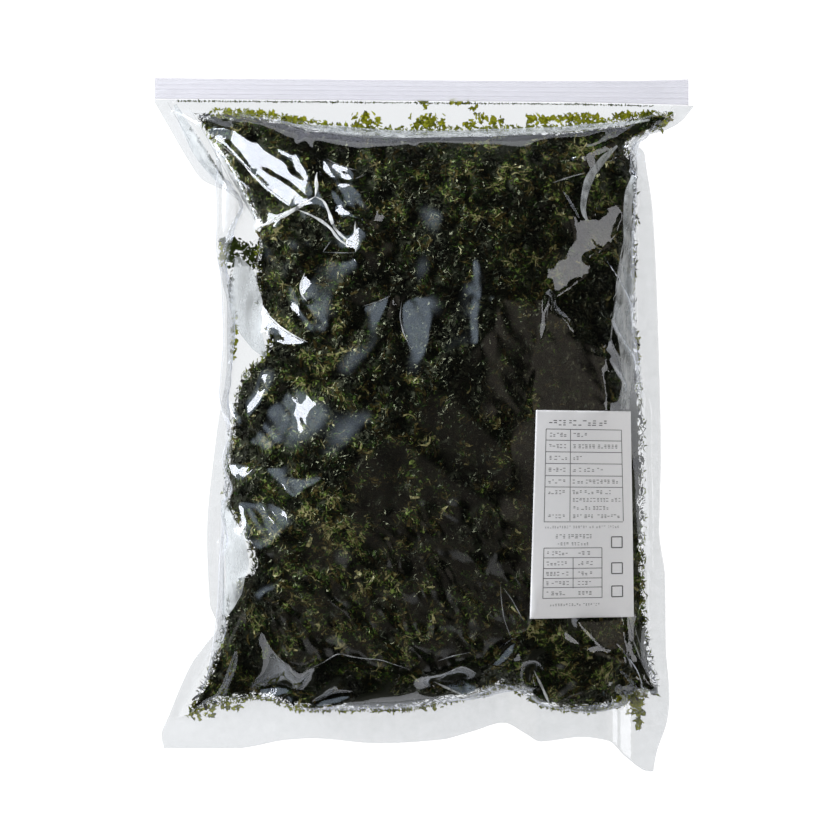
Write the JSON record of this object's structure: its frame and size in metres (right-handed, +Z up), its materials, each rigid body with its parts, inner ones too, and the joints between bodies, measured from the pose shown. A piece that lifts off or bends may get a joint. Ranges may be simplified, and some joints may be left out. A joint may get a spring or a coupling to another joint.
{
  "type": "clear zip pouch of loose dried nori",
  "caption": "Clear resealable pouch, puffed full of loose dried seaweed flakes, with crumpled film, heat-sealed edges, a zip along the top and a plain paper label.",
  "frame": {"origin": "on the resting plane, under the middle of the whole pouch's box", "axes": "the pouch lies on its back film: +Z is up out of the label side, +Y points to the zip end, +X runs along the zip to the label's side"},
  "size_m": [0.2897, 0.3714, 0.0714],
  "materials": {
    "filled_film": "gloss",
    "film": "gloss",
    "nori": "satin",
    "zip": "satin",
    "label_paper": "matte",
    "label_ink": "matte"
  },
  "bodies": {
    "root": {"pouch": "filled_film", "zip_front": "zip", "zip_back": "zip", "label": "label_paper"}
  },
  "joints": []
}
